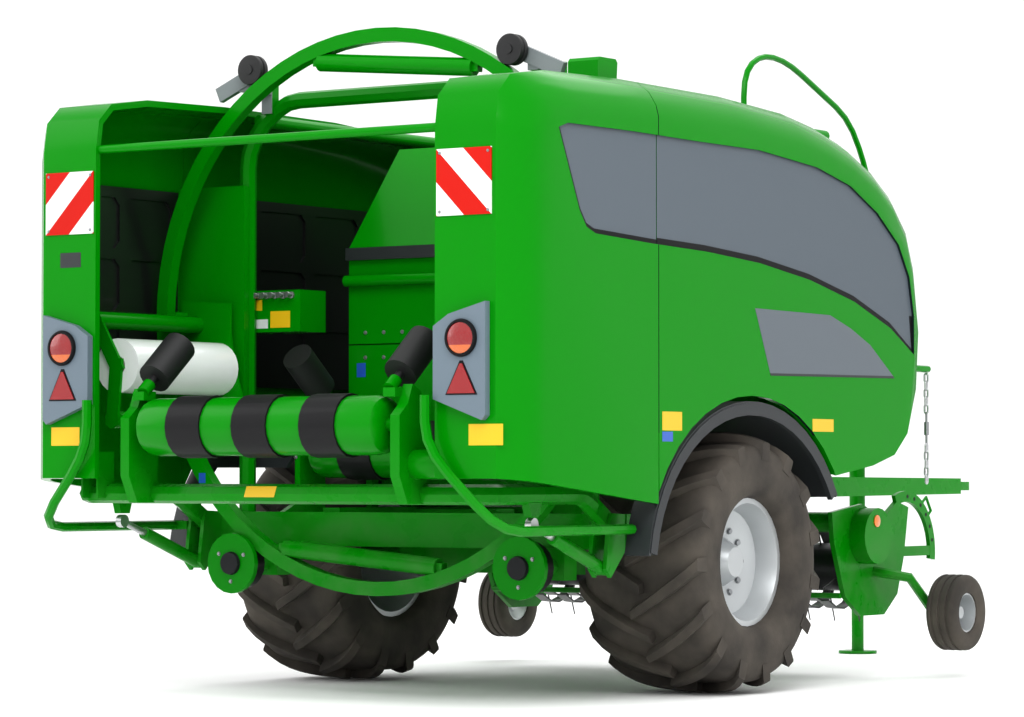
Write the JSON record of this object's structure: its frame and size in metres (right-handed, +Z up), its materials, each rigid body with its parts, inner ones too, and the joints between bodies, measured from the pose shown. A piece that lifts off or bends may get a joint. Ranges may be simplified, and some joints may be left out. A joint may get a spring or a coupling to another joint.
{
  "type": "round baler with bale wrapper",
  "caption": "Towed round baler with a vertical-ring bale wrapper behind it, lifting side doors, a tipping roller table, a tined pickup and a swing jack.",
  "frame": {"origin": "on the ground under the middle of the machine's length and width", "axes": "+Y the way it travels, towards the hitch; +X its right-hand side; +Z up"},
  "size_m": [2.915, 6.7344, 3.0951],
  "materials": {
    "green_paint": "glossy paint",
    "green_panel": "glossy moulded panel",
    "grey_housing": "satin",
    "dark_plastic": "matte",
    "black_liner": "satin",
    "tyre_rubber": "matte",
    "black_rubber": "matte",
    "silver_rim": "satin silver paint",
    "marker_board": "reflective sheet",
    "white_film": "glossy film",
    "bright_steel": "bright"
  },
  "bodies": {
    "chassis": {"chassis_frame": "green_paint", "drawbar": "green_paint", "axle_beam": "green_paint", "hoop_frame": "green_paint", "top_cross_tube": "green_paint", "chamber_lower": "green_paint", "front_cover": "green_paint", "lift_chain": "bright_steel", "handrail": "green_paint", "valve_box": "green_paint", "bulkhead_left": "green_paint", "mudguard_left": "dark_plastic", "rear_panel_left": "green_panel", "rear_liner_left": "black_liner", "guard_bar_left": "green_paint", "lamp_cluster_left": "grey_housing", "marker_board_left": "marker_board", "bulkhead_right": "green_paint", "mudguard_right": "dark_plastic", "rear_panel_right": "green_panel", "rear_liner_right": "black_liner", "guard_bar_right": "green_paint", "lamp_cluster_right": "grey_housing", "marker_board_right": "marker_board"},
    "wheel_left": {"tyre_left": "tyre_rubber", "rim_left": "silver_rim"},
    "door_left": {"side_door_left": "green_panel", "door_liner_left": "black_liner"},
    "wheel_right": {"tyre_right": "tyre_rubber", "rim_right": "silver_rim"},
    "door_right": {"side_door_right": "green_panel", "door_liner_right": "black_liner"},
    "gate": {"chamber_upper": "green_paint"},
    "ring": {"wrap_ring": "green_paint", "dispenser_low": "green_paint", "dispenser_high": "green_paint"},
    "film_low": {"film_roll_low": "white_film"},
    "film_high": {"film_roll_high": "white_film"},
    "ring_wheel_left": {"low_wheel_left": "green_paint"},
    "ring_pulley_left": {"top_pulley_left": "black_rubber"},
    "ring_wheel_right": {"low_wheel_right": "green_paint"},
    "ring_pulley_right": {"top_pulley_right": "black_rubber"},
    "table": {"table_frame": "green_paint"},
    "roller_rear": {"rear_roller": "green_paint"},
    "roller_front": {"front_roller": "green_paint"},
    "side_roller_rear_left": {"rear_side_roller_left": "black_rubber"},
    "side_roller_front_left": {"front_side_roller_left": "black_rubber"},
    "barrel_left": {"ram_barrel_left": "green_paint"},
    "rod_left": {"ram_rod_left": "bright_steel"},
    "side_roller_rear_right": {"rear_side_roller_right": "black_rubber"},
    "side_roller_front_right": {"front_side_roller_right": "black_rubber"},
    "barrel_right": {"ram_barrel_right": "green_paint"},
    "rod_right": {"ram_rod_right": "bright_steel"},
    "pickup": {"pickup_frame": "green_paint"},
    "reel": {"pickup_reel": "bright_steel"},
    "gauge_left": {"gauge_tyre_left": "tyre_rubber", "gauge_rim_left": "silver_rim"},
    "gauge_right": {"gauge_tyre_right": "tyre_rubber", "gauge_rim_right": "silver_rim"},
    "jack": {"parking_jack": "green_paint"}
  },
  "joints": [
    {"name": "wheel_left_turn", "type": "hinge", "parent": "chassis", "child": "wheel_left", "pos_m": [-1.0255, -1.25275, 0.61], "axis": [1, 0, 0], "continuous": true},
    {"name": "door_left_lift", "type": "hinge", "parent": "chassis", "child": "door_left", "pos_m": [-0.9197, -1.25275, 2.715], "axis": [0, 1, 0], "range_deg": [0, 60]},
    {"name": "wheel_right_turn", "type": "hinge", "parent": "chassis", "child": "wheel_right", "pos_m": [1.0255, -1.25275, 0.61], "axis": [1, 0, 0], "continuous": true},
    {"name": "door_right_lift", "type": "hinge", "parent": "chassis", "child": "door_right", "pos_m": [0.9197, -1.25275, 2.715], "axis": [0, -1, 0], "range_deg": [0, 60]},
    {"name": "gate_lift", "type": "hinge", "parent": "chassis", "child": "gate", "pos_m": [0, -0.09245, 2.11], "axis": [-1, 0, 0], "range_deg": [0, 25]},
    {"name": "ring_turn", "type": "hinge", "parent": "chassis", "child": "ring", "pos_m": [0, -2.40275, 1.765], "axis": [0, 1, 0], "continuous": true},
    {"name": "film_low_turn", "type": "hinge", "parent": "ring", "child": "film_low", "pos_m": [-1.06206, -2.40275, 1.5198], "axis": [0, 1, 0], "continuous": true},
    {"name": "film_high_turn", "type": "hinge", "parent": "ring", "child": "film_high", "pos_m": [1.06206, -2.40275, 2.0102], "axis": [0, 1, 0], "continuous": true},
    {"name": "ring_wheel_left_turn", "type": "hinge", "parent": "chassis", "child": "ring_wheel_left", "pos_m": [-0.819, -2.40275, 0.6], "axis": [0, 1, 0], "continuous": true},
    {"name": "ring_pulley_left_turn", "type": "hinge", "parent": "chassis", "child": "ring_pulley_left", "pos_m": [-0.743, -2.40275, 2.923], "axis": [0, 1, 0], "continuous": true},
    {"name": "ring_wheel_right_turn", "type": "hinge", "parent": "chassis", "child": "ring_wheel_right", "pos_m": [0.819, -2.40275, 0.6], "axis": [0, 1, 0], "continuous": true},
    {"name": "ring_pulley_right_turn", "type": "hinge", "parent": "chassis", "child": "ring_pulley_right", "pos_m": [0.743, -2.40275, 2.923], "axis": [0, 1, 0], "continuous": true},
    {"name": "table_tip", "type": "hinge", "parent": "chassis", "child": "table", "pos_m": [0, -2.25275, 0.8], "axis": [1, 0, 0], "range_deg": [0, 20]},
    {"name": "roller_rear_turn", "type": "hinge", "parent": "table", "child": "roller_rear", "pos_m": [0, -3.22575, 1.229], "axis": [1, 0, 0], "continuous": true},
    {"name": "roller_front_turn", "type": "hinge", "parent": "chassis", "child": "roller_front", "pos_m": [0, -1.97275, 1.13], "axis": [1, 0, 0], "continuous": true},
    {"name": "side_roller_rear_left_turn", "type": "hinge", "parent": "table", "child": "side_roller_rear_left", "pos_m": [-0.69, -3.20775, 1.425], "axis": [0, 0.766, 0.6428], "continuous": true},
    {"name": "side_roller_front_left_turn", "type": "hinge", "parent": "chassis", "child": "side_roller_front_left", "pos_m": [-0.69, -1.91275, 1.4], "axis": [0, -0.766, 0.6428], "continuous": true},
    {"name": "side_roller_rear_right_turn", "type": "hinge", "parent": "table", "child": "side_roller_rear_right", "pos_m": [0.69, -3.20775, 1.425], "axis": [0, 0.766, 0.6428], "continuous": true},
    {"name": "side_roller_front_right_turn", "type": "hinge", "parent": "chassis", "child": "side_roller_front_right", "pos_m": [0.69, -1.91275, 1.4], "axis": [0, -0.766, 0.6428], "continuous": true},
    {"name": "barrel_left_swing", "type": "hinge", "parent": "chassis", "child": "barrel_left", "pos_m": [-1.155, -2.30275, 0.6], "axis": [1, 0, 0], "range_deg": [0, 20.56]},
    {"name": "rod_left_slide", "type": "slide", "parent": "barrel_left", "child": "rod_left", "axis": [0, -0.9398, 0.3417], "range_m": [-0.07139, 0]},
    {"name": "barrel_right_swing", "type": "hinge", "parent": "chassis", "child": "barrel_right", "pos_m": [1.155, -2.30275, 0.6], "axis": [1, 0, 0], "range_deg": [0, 20.56]},
    {"name": "rod_right_slide", "type": "slide", "parent": "barrel_right", "child": "rod_right", "axis": [0, -0.9398, 0.3417], "range_m": [-0.07139, 0]},
    {"name": "pickup_lift", "type": "hinge", "parent": "chassis", "child": "pickup", "pos_m": [0, -0.01275, 0.78], "axis": [-1, 0, 0], "range_deg": [0, 11]},
    {"name": "reel_turn", "type": "hinge", "parent": "pickup", "child": "reel", "pos_m": [0, 0.31725, 0.55], "axis": [1, 0, 0], "continuous": true},
    {"name": "gauge_left_turn", "type": "hinge", "parent": "pickup", "child": "gauge_left", "pos_m": [-1.375, 0.63125, 0.321], "axis": [1, 0, 0], "continuous": true},
    {"name": "gauge_right_turn", "type": "hinge", "parent": "pickup", "child": "gauge_right", "pos_m": [1.375, 0.63125, 0.321], "axis": [1, 0, 0], "continuous": true},
    {"name": "jack_swing", "type": "hinge", "parent": "chassis", "child": "jack", "pos_m": [-0.205, 2.44725, 0.95], "axis": [-1, 0, 0], "range_deg": [0, 90]}
  ],
  "couplings": [
    {"joint": "barrel_left_swing", "follows": "table_tip", "ratio": 1.0282},
    {"joint": "rod_left_slide", "follows": "table_tip", "m_per_rad": -0.20453},
    {"joint": "barrel_right_swing", "follows": "table_tip", "ratio": 1.0282},
    {"joint": "rod_right_slide", "follows": "table_tip", "m_per_rad": -0.20453}
  ]
}
